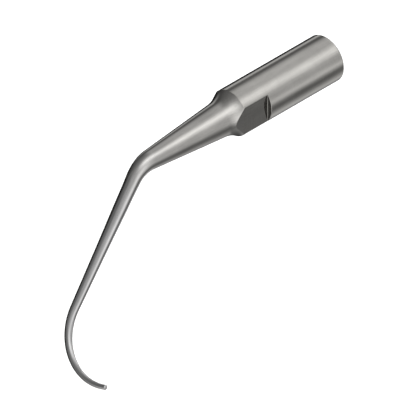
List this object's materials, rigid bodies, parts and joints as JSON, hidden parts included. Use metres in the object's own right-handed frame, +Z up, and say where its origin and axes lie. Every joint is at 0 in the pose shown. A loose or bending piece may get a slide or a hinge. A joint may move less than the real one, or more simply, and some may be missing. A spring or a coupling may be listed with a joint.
{
  "type": "ultrasonic scaler tip",
  "caption": "Screw-on periodontal tip for an ultrasonic scaler: threaded steel hub with wrench flats, bent tapered shank, side-curved working end.",
  "frame": {"origin": "centre of the hub's rear seating face, at the mouth of the female thread", "axes": "+Y along the hub's axis out of the thread's mouth, so the tool points along -Y; +Z up, with the shank bending down towards -Z; +X to the side that the working end curves to"},
  "size_m": [0.0089, 0.0344, 0.0178],
  "materials": {
    "hub_steel": "fine turned satin",
    "braze_alloy": "satin brazing filler",
    "shank_steel": "satin polished"
  },
  "bodies": {
    "root": {"hub": "hub_steel", "braze_ring": "braze_alloy", "shank": "shank_steel"}
  },
  "joints": []
}
